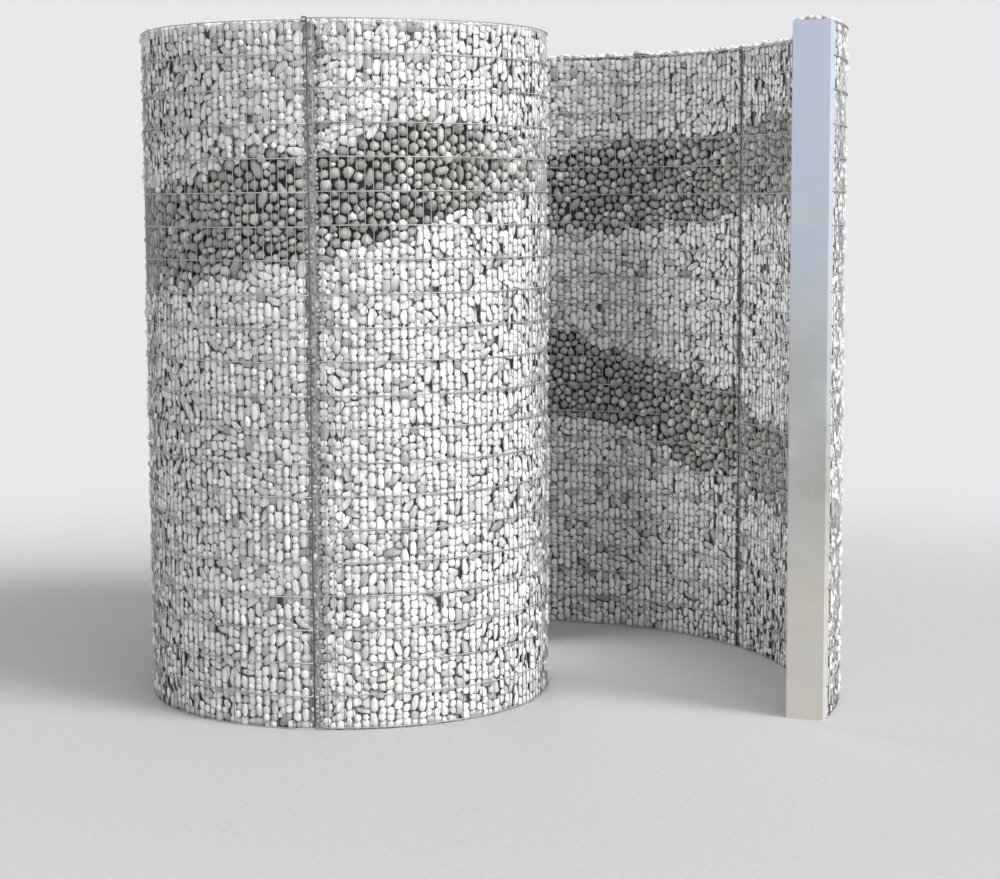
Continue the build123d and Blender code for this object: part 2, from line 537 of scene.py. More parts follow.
@dataclass(frozen=True)
class SheetFinish:
    """The caps' smooth satin sheet: a painted reflection, bluish sky above and warm ground below, with
    faint handling marks.
    """

    height: float = 2.1

    def make(self) -> Material:
        """Build the material.

        Returns:
            The material.
        """
        material, g = new_material("cap_sheet")
        place = g.place()
        tall = g.add("ShaderNodeMapping", inputs={"Vector": place, "Scale": (14.0, 14.0, 0.9)}).outputs[0]
        streak = g.noise(tall, 3.0, 3.0, 0.55)
        cloud = g.noise(place, 3.2, 3.0, 0.5)
        # Painted reflection: the colour runs by height from the warm ground at the foot to the bluish sky
        # at the top.
        rise = (g.height() * (1 / self.height) + cloud * 0.25).ramp(0.05, 1.05)
        colour = g.colours(rise, [(0.0, (0.71, 0.65, 0.57)), (0.42, (0.465, 0.46, 0.42)),
                                  (0.75, (0.54, 0.57, 0.61)), (1.0, (0.58, 0.645, 0.79))])
        stain = g.noise(g.shifted(place, g.height(), 0.4), 5.5, 2.0, 0.5).ramp(0.40, 0.62)
        colour = g.mix(stain * 0.30, colour, (0.66, 0.67, 0.66, 1.0))
        colour = g.mix(streak.ramp(0.35, 0.7) * 0.15, colour, (0.62, 0.65, 0.72, 1.0))
        scuff = g.noise(place, 38.0, 4.0, 0.7).ramp(0.60, 0.78)
        colour = g.mix(scuff * 0.25, colour, (0.47, 0.48, 0.48, 1.0))
        g.surface(Base_Color=colour, Metallic=0.35, Roughness=streak.ramp(0.3, 0.7, 0.34, 0.46),
                  Normal=g.bump(cloud, 0.12, 0.02))
        return material


def add_mesh(name: str, points: Array, faces: list[Array], material: Material,
             smooth: bool = True, **attributes: Array) -> Piece:
    """Put whole arrays into a new mesh object at the origin.

    Args:
        name: Name of the object and its mesh.
        points: Vertices, one row each.
        faces: Arrays of vertex numbers, one row a face; each array has faces of one kind.
        material: The material of all its faces.
        smooth: Whether the faces are shaded smooth.
        attributes: Numbers by vertex.

    Returns:
        The object, linked to the scene.
    """
    mesh = bpy.data.meshes.new(name)
    corners = np.concatenate([block.ravel() for block in faces]).astype(np.int32)
    sizes = np.concatenate([np.full(len(block), block.shape[1]) for block in faces])
    starts = (np.cumsum(sizes) - sizes).astype(np.int32)
    mesh.vertices.add(len(points))
    mesh.vertices.foreach_set("co", np.ascontiguousarray(points, dtype=np.float32).ravel())
    mesh.loops.add(len(corners))
    mesh.loops.foreach_set("vertex_index", corners)
    mesh.polygons.add(len(starts))
    mesh.polygons.foreach_set("loop_start", starts)
    mesh.polygons.foreach_set("use_smooth", np.full(len(starts), smooth))
    mesh.update(calc_edges=True)
    for key, values in attributes.items():
        layer = mesh.attributes.new(key, "FLOAT", "POINT")
        layer.data.foreach_set("value", np.ascontiguousarray(values, dtype=np.float32).ravel())
    mesh.materials.append(material)
    piece = bpy.data.objects.new(name, mesh)
    bpy.context.scene.collection.objects.link(piece)
    return piece


def sweep(lines: Array, first: Array, second: Array, radius: float,
          sides: int) -> tuple[Array, list[Array]]:
    """Round bars along many lines at once.

    A ring point is the line's point plus radius times (cos t first + sin t second), with t evenly round
    the bar; first, second and the line's direction are a right-handed set, so the faces point outwards.

    Args:
        lines: Points as (line, point, 3).
        first: Unit vectors across each line, the same shape.
        second: Unit vectors across both.
        radius: Radius of the bars.
        sides: Corners of the section.

    Returns:
        The vertices, and the faces as sides, start caps and end caps.
    """
    turn = np.arange(sides) * 2 * pi / sides
    ring = (np.cos(turn)[:, None] * first[:, :, None, :] + np.sin(turn)[:, None] * second[:, :, None, :])
    points = lines[:, :, None, :] + radius * ring
    count, steps = lines.shape[:2]
    numbers = np.arange(count * steps * sides).reshape(count, steps, sides)
    after = np.roll(numbers, -1, axis=2)
    walls = np.stack([numbers[:, :-1], after[:, :-1], after[:, 1:], numbers[:, 1:]], axis=-1)
    caps = [numbers[:, 0, ::-1], numbers[:, -1]]
    return points.reshape(-1, 3), [walls.reshape(-1, 4), *caps]


@dataclass(frozen=True)
class StoneForm:
    """Form of a stone's front: where the ring between its front point and its outline lies.

    The ring lies at a share of the outline and a rise of the half depth, and the outline at the edge,
    each with a spread. The front point is off centre by a share of the radius. For each metre that a
    stone stands proud of its bed, the share shrinks and the ring drops.
    """

    share: float
    rise: float
    edge: float
    lean: float
    share_spread: float = 0.05
    rise_spread: float = 0.07
    edge_spread: float = 0.08
    off_centre: float = 0.14
    shrink: float = 7.0
    drop: float = 0.22


BLOCKY = StoneForm(share=0.80, rise=0.90, edge=0.68, lean=0.17)
DOMED = StoneForm(share=0.66, rise=0.74, edge=-0.28, lean=0.22)


@dataclass(frozen=True)
class StoneKind:
    """A kind of stone: its radii and how it is packed, its form, and how deep it is and lies."""

    mean: float
    spread: float
    limits: Pair
    form: StoneForm
    joint: float
    corners: int
    tight: float = 0.97
    sink: float = 0.0014
    half_depth: Pair = (0.75, 1.0)


WHITE = StoneKind(0.0127, 0.19, (0.0080, 0.0165), BLOCKY, joint=-0.0034, corners=6)
LONG = replace(WHITE, corners=7)
DARK = StoneKind(0.0165, 0.21, (0.0105, 0.024), DOMED, joint=-0.0016, corners=8, tight=1.12, sink=0.0035)
HEAPED = StoneKind(0.0125, 0.17, (0.0090, 0.0165), DOMED, joint=-0.0034, corners=7, half_depth=(0.7, 0.95))
SMALL = StoneKind(0.0085, 0.20, (0.0065, 0.012), DOMED, joint=-0.0016, corners=6, sink=0.0035,
                  half_depth=(0.6, 0.8))


@dataclass
class Packing:
    """Stones pressed together on a flat field: discs are scattered, pushed apart and given outlines."""

    low: Pair
    high: Pair
    seed: int
    pull: float = 0.22
    loose: float = 0.0170
    loose_fade: float = 0.003
    push: float = 0.42
    inset: float = 0.9
    jitter: float = 0.0018
    at: Array = field(init=False)
    radius: Array = field(init=False)
    random: np.random.Generator = field(init=False)

    def __post_init__(self) -> None:
        """Start with no stones."""
        self.random = np.random.default_rng(self.seed)
        self.at = np.zeros((0, 2))
        self.radius = np.zeros(0)

    def scatter(self, kind: StoneKind, columns: Array | None = None) -> Array:
        """Places on a jittered grid at the density that discs of a mean radius fill, and their radii.

        The grid's pitch is the mean radius times the root of pi over the share to be filled, and a
        radius is the mean times e to a normal number. With columns, the stones start near those places
        along the field, and the pitch up keeps their density.

        Args:
            kind: The kind of stone.
            columns: Places along the field where upright columns of stones stand, if they do.

        Returns:
            Rows of place along, place up and radius.
        """
        pitch = kind.mean * np.sqrt(pi * (1 + 2 * kind.spread ** 2) / kind.tight)
        size = np.subtract(self.high, self.low)
        count = np.maximum(1, np.round(size / pitch)).astype(int)
        if columns is not None:
            count = np.array([len(columns), round(size[0] * size[1] / pitch ** 2 / len(columns))])
        grid = np.stack(np.meshgrid(np.arange(count[0]), np.arange(count[1]), indexing="ij"), axis=-1)
        grid = grid + self.random.uniform(0.1, 0.9, grid.shape)
        grid[:, 1::2, 0] += 0.25
        places = self.low + grid.reshape(-1, 2) / count * size
        if columns is not None:
            places[:, 0] = np.repeat(columns, count[1]) + self.random.normal(0.0, self.jitter, len(places))
        radius = kind.mean * np.exp(self.random.normal(0.0, kind.spread, len(places)))
        return np.column_stack([places, np.clip(radius, *kind.limits)])

    def take(self, rows: Array) -> None:
        """Add stones from rows of place along, place up and radius."""
        self.at = np.vstack([self.at, rows[:, :2]])
        self.radius = np.concatenate([self.radius, rows[:, 2]])

    def _pairs(self, radii: float = 2.3) -> tuple[Array, Array]:
        """Find all pairs of stones that are near each other, by sorting them into square cells.

        Args:
            radii: How near, in radii of the largest stone; a cell is as wide.

        Returns:
            The numbers of the two discs of each pair.
        """
        reach = radii * float(self.radius.max())
        cell = np.floor((self.at - self.low) / reach).astype(int) + 1
        rows = int(cell[:, 1].max()) + 3
        key = cell[:, 0] * rows + cell[:, 1]
        order = np.argsort(key, kind="stable")
        ranked = key[order]
        found: list[Array] = []
        for step in (0, 1, rows - 1, rows, rows + 1):
            start = np.searchsorted(ranked, key + step, side="left")
            end = np.searchsorted(ranked, key + step, side="right")
            for rank in range(int((end - start).max(initial=0))):
                one = np.flatnonzero(start + rank < end)
                two = order[start[one] + rank]
                keep = (two > one) if step == 0 else np.ones(len(one), bool)
                found.append(np.stack([one[keep], two[keep]]))
        one, two = np.concatenate(found, axis=1)
        near = np.hypot(*(self.at[two] - self.at[one]).T) < reach
        return one[near], two[near]

    def relax(self, rounds: int, stone: Array | None = None, bars: Array | None = None) -> None:
        """Push overlapping discs apart, each by half their overlap, and hold them inside the field.

        Discs of one stone don't push each other: they move together, by their summed pushes over the
        root of their number. Each small disc is also drawn towards the middle of the nearest opening
        between two bars, where stones lodge.

        Args:
            rounds: How often all discs are pushed.
            stone: The stone's number of each disc, or each disc a stone of its own.
            bars: Places of upright bars along the field, if there are any.
        """
        openings = None if bars is None else (bars[1:] + bars[:-1]) / 2
        stone = np.arange(len(self.at)) if stone is None else stone
        members = np.sqrt(np.bincount(stone))
        inset = self.inset * self.radius[:, None]
        low, high = self.low + inset, np.maximum(self.high - inset, self.low + inset)
        between = 6
        for turn in range(rounds):
            if turn % between == 0:
                one, two = self._pairs()
                foreign = stone[one] != stone[two]
                one, two = one[foreign], two[foreign]
            gap = self.at[two] - self.at[one]
            apart = np.maximum(np.hypot(gap[:, 0], gap[:, 1]), 1e-6)
            push = np.maximum(self.radius[one] + self.radius[two] - apart, 0.0) * self.push / apart
            move = np.zeros_like(self.at)
            for axis in range(2):
                part = push * gap[:, axis]
                move[:, axis] = np.bincount(two, part, len(move)) - np.bincount(one, part, len(move))
            if openings is not None:
                right = np.clip(np.searchsorted(openings, self.at[:, 0]), 1, len(openings) - 1)
                sides = openings[np.stack([right - 1, right])] - self.at[:, 0]
                pull = self.pull * np.clip((self.loose - self.radius) / self.loose_fade, 0, 1)
                move[:, 0] += pull * np.where(np.abs(sides[0]) < np.abs(sides[1]), sides[0], sides[1])
            move = np.clip(self.at + move, low, high) - self.at
            for axis in range(2):
                self.at[:, axis] += (np.bincount(stone, move[:, axis]) / members)[stone]

    def join(self, allowed: Array, lengthwise: float = 0.85) -> Array:
        """Join touching discs in twos, so that the two make one long stone.

        Every touching couple gets a random score, higher if it stands upright; a couple is joined if it
        is the best one of both its discs, three times over.

        Args:
            allowed: Which discs may be joined.
            lengthwise: How much an upright couple is preferred.

        Returns:
            The stone's number of each disc.
        """
        one, two = self._pairs()
        away = self.at[two] - self.at[one]
        apart = np.hypot(away[:, 0], away[:, 1])
        fits = allowed[one] & allowed[two] & (apart < 1.1 * (self.radius[one] + self.radius[two]))
        score = self.random.uniform(0.05, 1.0, len(one))
        score *= fits * (1 - lengthwise + lengthwise * np.abs(away[:, 1]) / apart)
        stone = np.arange(len(self.at))
        for _ in range(3):
            best = np.zeros(len(stone))
            np.maximum.at(best, one, score)
            np.maximum.at(best, two, score)
            chosen = (score > 0) & (score == best[one]) & (score == best[two])
            stone[two[chosen]] = one[chosen]
            used = np.zeros(len(stone), bool)
            used[one[chosen]] = True
            used[two[chosen]] = True
            score = np.where(used[one] | used[two], 0.0, score)
        return np.unique(stone, return_inverse=True)[1]

    def bridge(self, stone: Array, stretch: float, slim: float) -> Array:
        """Make long stones of the couples.

        A couple's discs move apart by a factor and get slimmer, and a third disc goes between them, so
        that the neighbours keep out of the long stone's waist.

        Args:
            stone: The stone's number of each disc.
            stretch: Factor on the distance of the two discs.
            slim: Factor on their radii.

        Returns:
            The stone's number of each disc, the new ones included.
        """
        count = np.bincount(stone)
        middle = np.stack([np.bincount(stone, self.at[:, axis]) / count for axis in range(2)], axis=1)
        self.at = middle[stone] + (self.at - middle[stone]) * stretch
        self.radius = np.where(count[stone] > 1, self.radius * slim, self.radius)
        radius = np.bincount(stone, self.radius) / count
        long = np.flatnonzero(count > 1)
        self.take(np.column_stack([middle[long], radius[long] * 1.04]))
        return np.concatenate([stone, long])

    def outlines(self, stone: Array, kind: StoneKind, reach: float = 1.32,
                 oval: float = 1.3) -> "Outlines":
        """Give each stone an outline that fits its neighbours.

        A stone alone would be an ellipse round its discs, with its corners evenly spaced in the
        ellipse's parameter t: the angle from the long axis is atan2(sin t, aspect cos t). Towards each
        neighbouring disc the outline stops at the line where that disc and the stone's nearest disc
        have the same power, which lies (D² + r² − q²) / 2D from the disc's middle for discs r and q a
        distance D apart, less half the joint. Along a spoke it is that distance, taken from the
        stone's middle, over the cosine to the neighbour, the least over all neighbours.

        Args:
            stone: The stone's number of each disc.
            kind: The kind of stone; with a joint below zero they press into each other.
            reach: Size of the ellipse as a share of the discs.
            oval: Greatest aspect of a stone of one disc.

        Returns:
            The outlines of all stones.
        """
        facing_least, shortest, smoothing = 0.12, 0.5, 0.14
        count = int(stone.max()) + 1
        members = np.bincount(stone, minlength=count)
        radius = np.bincount(stone, self.radius, count) / members
        middle = np.stack([np.bincount(stone, self.at[:, axis], count) / members
                           for axis in range(2)], axis=1)
        part = self.at - middle[stone]
        half = np.zeros(count)
        np.maximum.at(half, stone, np.hypot(part[:, 0], part[:, 1]))
        spread = np.bincount(stone, part[:, 0] ** 2 - part[:, 1] ** 2, count)
        skew = np.bincount(stone, 2 * part[:, 0] * part[:, 1], count)
        axis_turn = np.where(members > 1, 0.5 * np.arctan2(skew, spread), self.random.uniform(0, pi, count))
        start = np.where(members > 1, self.random.normal(0.0, 0.2, count), self.random.uniform(0, 1, count))
        step = start[:, None] + np.arange(kind.corners) * 2 * pi / kind.corners
        aspect = 1 + half / radius
        single = members == 1
        aspect[single] = self.random.uniform(1.0, oval, int(single.sum()))
        turn = axis_turn[:, None] + np.arctan2(np.sin(step), aspect[:, None] * np.cos(step))
        uneven = np.clip(self.random.normal(1.0, 0.06, turn.shape), 0.85, 1.12)
        length = reach * radius[:, None] * np.hypot(aspect[:, None] * np.cos(step), np.sin(step)) * uneven
        one, two = self._pairs(2.6)
        first, second = np.concatenate([one, two]), np.concatenate([two, one])
        foreign = stone[first] != stone[second]
        first, second = first[foreign], second[foreign]
        away = self.at[second] - self.at[first]
        apart = np.hypot(away[:, 0], away[:, 1])
        key = stone[first] * len(self.at) + second
        order = np.lexsort((apart - self.radius[first], key))
        nearest = order[np.concatenate([[True], np.diff(key[order]) != 0])]
        first, second, away, apart = first[nearest], second[nearest], away[nearest], apart[nearest]
        owner = stone[first]
        border = (apart ** 2 + self.radius[first] ** 2 - self.radius[second] ** 2) / (2 * apart)
        border -= kind.joint / 2
        border += (part[first] * away).sum(axis=1) / apart
        facing = np.cos(turn[owner] - np.arctan2(away[:, 1], away[:, 0])[:, None])
        limit = border[:, None] / np.maximum(facing, facing_least)
        np.minimum.at(length, owner, np.where(facing > facing_least, limit, 1.0))
        length = np.maximum(length, shortest * radius[:, None])
        beside = (np.roll(length, 1, axis=1) + np.roll(length, -1, axis=1)) / 2
        length = np.minimum((1 - smoothing) * length + smoothing * beside, 1.04 * length)
        return Outlines(middle, radius, turn, length, self.low, self.high, self.random)


@dataclass(frozen=True)
class Bed:
    """The uprights that stones lie against, and how far out the stones may reach behind them."""

    bars: Array
    edge: float = 0.0558
    edge_slope: float = 0.45
    ring: float = 0.0565
    ring_slope: float = 1.3
    free: float = 0.0025
    reach: float = 0.012

    def limits(self, along: Array, level: float, slope: float) -> Array:
        """How far out stones may reach: the level, plus the slope times the distance past an upright.

        Args:
            along: Places along the field.
            level: The limit behind an upright.
            slope: How fast it rises beside one.

        Returns:
            The limit at each place.
        """
        right = np.clip(np.searchsorted(self.bars, along), 1, len(self.bars) - 1)
        nearest = np.minimum(np.abs(along - self.bars[right - 1]), np.abs(self.bars[right] - along))
        return level + slope * np.clip(nearest - self.free, 0.0, self.reach)


@dataclass
class Outlines:
    """Stones on a field as middles, disc radii, and spokes with their directions and lengths."""

    at: Array
    radius: Array
    turn: Array
    spoke: Array
    low: Pair
    high: Pair
    random: np.random.Generator

    def pick(self, chosen: Array) -> "Outlines":
        """The outlines of some of the stones."""
        return Outlines(self.at[chosen], self.radius[chosen], self.turn[chosen], self.spoke[chosen],
                        self.low, self.high, self.random)

    def half_size(self) -> tuple[Array, Array]:
        """How far each stone reaches along the wall and up from its middle."""
        return (np.abs(np.cos(self.turn) * self.spoke).max(axis=1),
                np.abs(np.sin(self.turn) * self.spoke).max(axis=1))

    def shells(self, front: Array, depth: Array, flip: bool, form: StoneForm, bed: Bed | None = None,
               spill: float = 0.0) -> tuple[Array, list[Array], Array]:
        """Closed pebbles.

        Each has a front point, a ring at a share of the outline and of the half depth, the outline
        itself as its widest ring, and a flat hidden back. The front leans by a random slope, and nothing
        passes the field's limits. The further a stone stands out of its bed the more domed it is, and
        its ring and outline stay behind the uprights.

        Args:
            front: How far out each stone's foremost point lies.
            depth: Half depth of each stone.
            flip: Whether the field's axes are left-handed, so the faces turn round.
            form: How blocky or domed the stones are.
            bed: The uprights in front of the stones, if there are any.
            spill: How far a stone may reach past the field's ends along the wall.

        Returns:
            Local points as (stone, vertex, 3) of along, up and out, the faces, and the rim attribute.
        """
        count, corners = self.spoke.shape
        random = self.random
        spoke = np.stack([np.cos(self.turn), np.sin(self.turn)], axis=-1)
        proud = np.zeros((count, 1)) if bed is None else np.maximum(front - bed.edge, 0.0)[:, None]
        uneven = np.clip(random.normal(0.0, form.share_spread, (count, corners)), -0.12, 0.10)
        share = form.share - form.shrink * proud + uneven
        points = np.zeros((count, 2 * corners + 1, 3))
        level = np.zeros((count, 2 * corners + 1))
        inner, outer = slice(1, corners + 1), slice(corners + 1, None)
        level[:, 0] = 1.0
        rise = form.rise + random.normal(0.0, form.rise_spread, (count, corners))
        level[:, inner] = np.minimum(rise, 0.98)
        points[:, 0, :2] = random.normal(0.0, form.off_centre, (count, 2)) * self.radius[:, None]
        points[:, inner, :2] = spoke * (self.spoke * share)[..., None]
        points[:, outer, :2] = spoke * self.spoke[..., None]
        level[:, outer] = random.normal(form.edge, form.edge_spread, (count, corners))
        slope = (points[..., :2] * random.normal(0.0, form.lean, (count, 1, 2))).sum(axis=-1)
        bent = level * depth[:, None] + slope
        points[..., 2] = bent + (front - bent.max(axis=1))[:, None]
        points[:, inner, 2] -= form.drop * proud
        low, high = np.subtract(self.low, (spill, 0.0)), np.add(self.high, (spill, 0.0))
        points[..., :2] = np.clip(points[..., :2] + self.at[:, None, :], low, high)
        if bed is not None:
            for part, most, steep in ((points[:, :corners + 1], bed.ring, bed.ring_slope),
                                      (points[:, outer], bed.edge, bed.edge_slope)):
                part[..., 2] = np.minimum(part[..., 2], bed.limits(part[..., 0], most, steep))
        ring = np.arange(corners)
        after = (ring + 1) % corners
        tips = np.stack([np.zeros_like(ring), 1 + ring, 1 + after], axis=1)
        walls = np.stack([1 + ring, corners + 1 + ring, corners + 1 + after, 1 + after], axis=1)
        backs = corners + 1 + ring[None, ::-1]
        base = (np.arange(count) * (2 * corners + 1))[:, None, None]
        blocks = [block[:, ::-1] if flip else block for block in (tips, walls, backs)]
        faces = [(base + block).reshape(-1, block.shape[1]) for block in blocks]
        rim = np.concatenate([[0.0], np.full(corners, 0.12), np.full(corners, 1.0)])
        return points, faces, np.tile(rim, count)


@dataclass
class Batch:
    """Pebbles of one piece, gathered from several fields: world points, faces and attributes."""

    points: list[Array] = field(default_factory=list)
    faces: list[Array] = field(default_factory=list)
    marks: dict[str, list[Array]] = field(default_factory=dict)
    count: int = 0

    def add(self, world: Array, faces: list[Array], rim: Array, dark: Array,
            random: np.random.Generator) -> None:
        """Add stones.

        Args:
            world: Points as (stone, vertex, 3).
            faces: Faces by vertex number within this addition.
            rim: How near each vertex is to its stone's edge.
            dark: Which stones are dark.
            random: Source of the stones' shades.
        """
        stones, each = world.shape[:2]
        values = {"tint": random.uniform(0, 1, stones), "shade": random.uniform(0, 1, stones),
                  "dark": dark.astype(float)}
        for key, value in values.items():
            self.marks.setdefault(key, []).append(np.repeat(value, each))
        self.marks.setdefault("rim", []).append(rim)
        self.points.append(world.reshape(-1, 3))
        self.faces += [block + self.count for block in faces]
        self.count += stones * each

    def piece(self, name: str, finish: Material, node: str) -> Piece:
        """Make the piece, which stands for a CAD fill and rides with it.

        Args:
            name: Name of the piece.
            finish: Its material.
            node: The CAD fill.

        Returns:
            The piece.
        """
        marks = {key: np.concatenate(values) for key, values in self.marks.items()}
        piece = add_mesh(name, np.concatenate(self.points), self.faces, finish, **marks)
        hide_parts(node)
        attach(piece, "root")
        return piece


@dataclass
class StoneFill:
    """The pebbles of the wall: both faces and the top of each bay, the seams, and the core in painted
    shade.
    """

    plan: Plan
    section: Section
    finish: Material
    core_painted_shade: Material
    rounds: tuple[int, int] = (24, 30)
    seam_rounds: tuple[int, int] = (40, 20)
    joined: float = 0.52
    dark_joined: float = 0.35
    seam_joined: float = 0.6
    stretch: float = 1.08
    slim: float = 0.93
    poke: float = 0.0145
    poke_at_wire: float = 0.0050
    grip: float = 0.80
    under_wire: float = 0.9
    touch: float = 0.0002
    deepest: float = 0.009
    ragged: float = 0.008
    mixed: Pair = (0.09, 0.59)
    mixed_at: Pair = (5.40, 5.70)
    stray: float = 0.012
    painted_shade_at_seam: float = 0.3
    seam_side: float = 0.022
    core_half: float = 0.038
    end_gap: float = 0.004
    outer_zone: Pair = (0.011, 0.026)
    inner_zone: Pair = (0.008, 0.012)
    zone_lap: float = 0.003
    seam_face: float = 0.0490
    seam_deepest: float = 0.008
    seam_top: float = 0.038
    seam_painted_shade: Pair = (0.8, 0.4)
    shade_side: float = 0.012
    spill: float = 0.004
    heaps: tuple[float, ...] = (0.018, 0.017, 0.015, 0.012, 0.002, 0.001)
    heap_least: float = 0.003
    heap_foot: float = 0.004
    heap_uneven: float = 0.0035
    heap_stray: float = 0.03

    def _zone(self, face: Face) -> Pair:
        """How far the seam stones of a face reach before and after a seam."""
        return self.outer_zone if face is Face.OUTER else self.inner_zone

    def _skin(self, face: Face) -> float:
        """Offset at which a face's stones are laid out."""
        return face.value * self.section.stone_face

    def _on_face(self, local: Array, face: Face) -> Array:
        """World points of places along a face, up it and out of it."""
        length = self.plan.to_middle(local[..., 0], self._skin(face))
        return self.plan.place(length, face.value * local[..., 2], local[..., 1])

    def _lengthen(self, packing: Packing, share: Array | float, rounds: int, bars: Array | None = None,
                  lengthwise: float = 0.85) -> Array:
        """Join some of the discs in twos, make long stones of them and press all together again.

        Args:
            packing: The stones.
            share: Odds that a disc may be joined.
            rounds: How often all discs are pushed.
            bars: Places of the uprights, if there are any.
            lengthwise: How much an upright couple is preferred.

        Returns:
            The stone's number of each disc.
        """
        allowed = packing.random.uniform(0, 1, len(packing.at)) < share
        stone = packing.bridge(packing.join(allowed, lengthwise), self.stretch, self.slim)
        packing.relax(rounds, stone, bars)
        return stone

    def _fronts(self, stones: Outlines, wires: Array, kind: StoneKind) -> tuple[Array, Array]:
        """How far out the stones of a face lie, and their half depths.

        A stone rests on the nearest upright: with that a distance d from its middle, it bulges into the
        opening by the poke times (1 − √(1 − (d/a)²)), where a is nearly its half width, less so behind a
        level wire, and some lie a little deeper.

        Args:
            stones: The stones.
            wires: Places of the uprights.
            kind: The kind of stone; its sink is the mean depth by which they lie further in.

        Returns:
            Offsets of the foremost points, and half depths.
        """
        count = len(stones.radius)
        sec = self.section
        half_width, half_height = stones.half_size()
        depth = stones.radius * stones.random.uniform(*kind.half_depth, count)
        nearest = np.abs(stones.at[:, :1] - wires[None, :]).min(axis=1) - sec.upright_radius
        free = np.clip(nearest / (self.grip * half_width), 0.0, 1.0)
        bulge = self.poke * (1 - np.sqrt(1 - free ** 2))
        level = stones.at[:, 1] - sec.wire / 2
        level = np.abs(level - sec.pitch * np.round(level / sec.pitch))
        limit = np.where(level < self.under_wire * half_height, self.poke_at_wire, self.poke)
        sunk = np.minimum(stones.random.exponential(kind.sink, count), self.deepest)
        return sec.stone_face - self.touch + np.minimum(bulge, limit) - sunk, depth

    def face_pebbles(self, bay: int, face: Face) -> Piece:
        """The pebbles behind one mesh face of a bay: white ones, many of them long, and dark round ones.

        Some white stones are mixed into the dark band, more of them near the inner end of the outer
        face, and dark ones stand right after that face's seams as painted shade of the seam's recess.

        Args:
            bay: Number of the bay from 0.
            face: Which face.

        Returns:
            The piece.
        """
        sec, plan, skin = self.section, self.plan, self._skin(face)
        outer = face is Face.OUTER
        before, after = self._zone(face)
        start, end = plan.run(bay, sec.cap_flange, after, before)
        span = plan.to_face(np.array([start, end]), skin)
        seed = 100 * bay + face.value + 7
        packing = Packing((float(span[0]), 0.001), (float(span[1]), sec.top - 0.008), seed)
        random = packing.random

        def in_band(rows: Array) -> Array:
            """True for stones whose place is in one of the face's dark bands, with a ragged edge."""
            height = rows[:, 1] + random.normal(0, self.ragged, len(rows))
            return in_bands(face, plan.to_middle(rows[:, 0], skin), height)

        wires = plan.to_face(upright_places(plan, sec, bay, face), skin)
        rows = packing.scatter(WHITE, (wires[1:] + wires[:-1]) / 2)
        packing.take(rows[~in_band(rows)])
        lights = len(packing.at)
        rows = packing.scatter(DARK)
        packing.take(rows[in_band(rows)])
        packing.relax(self.rounds[0], bars=wires)
        light = np.arange(len(packing.at)) < lights
        share = np.where(light, self.joined, self.joined * self.dark_joined)
        stone = self._lengthen(packing, share, self.rounds[1], wires)
        dark = np.bincount(stone[:len(light)], ~light) > 0
        long = np.bincount(stone) > 1
        batch = Batch()
        for chosen, kind, bed in ((~long & ~dark, WHITE, Bed(wires)), (long & ~dark, LONG, Bed(wires)),
                                  (dark, DARK, None)):
            stones = packing.outlines(stone, kind).pick(chosen)
            front, depth = self._fronts(stones, wires, kind)
            local, faces, rim = stones.shells(front, depth, not outer, kind.form, bed, self.spill)
            middle = plan.to_middle(stones.at[:, 0], skin)
            mixed = np.interp(middle, self.mixed_at, self.mixed) if outer else self.mixed[0]
            # Painted shade: just after the outer face's seams, white stones turn dark at higher odds.
            beside = (bay > 0) & outer & (middle < start + self.seam_side)
            odds = np.where(dark[chosen], mixed, np.where(beside, self.painted_shade_at_seam, self.stray))
            odd = random.uniform(0, 1, len(front)) < odds
            batch.add(self._on_face(local, face), faces, rim, dark[chosen] ^ odd, random)
        return batch.piece(f"{face.word}_pebbles_bay_{bay + 1}", self.finish, f"stone_fill_bay_{bay + 1}")

    def top_pebbles(self, bay: int) -> Piece:
        """The heap on top of a bay, highest over the middle line and fallen off towards the wires.

        Its height over the wires is the heap at that length times (1 − (offset / half width)⁴).

        Args:
            bay: Number of the bay from 0.

        Returns:
            The piece.
        """
        half_width, half_field = 0.058, 0.054
        start, end = self.plan.run(bay, self.end_gap, self.end_gap, self.end_gap)
        packing = Packing((start, -half_field), (end, half_field), 900 + bay)
        packing.take(packing.scatter(HEAPED))
        packing.relax(self.rounds[0])
        stone = self._lengthen(packing, self.joined, self.rounds[1], lengthwise=0.0)
        stones = packing.outlines(stone, HEAPED)
        random = packing.random
        count = len(stones.radius)
        depth = stones.radius * random.uniform(*HEAPED.half_depth, count)
        crown = 1 - (stones.at[:, 1] / half_width) ** 4
        heap = self.heap_least + np.interp(stones.at[:, 0], self.plan.stations, self.heaps)
        front = self.section.top - self.heap_foot + heap * crown + random.normal(0, self.heap_uneven, count)
        local, faces, rim = stones.shells(front, depth, True, HEAPED.form)
        world = self.plan.place(local[..., 0], local[..., 1], local[..., 2])
        batch = Batch()
        batch.add(world, faces, rim, random.uniform(0, 1, count) < self.heap_stray, random)
        return batch.piece(f"top_pebbles_bay_{bay + 1}", self.finish, f"stone_fill_bay_{bay + 1}")

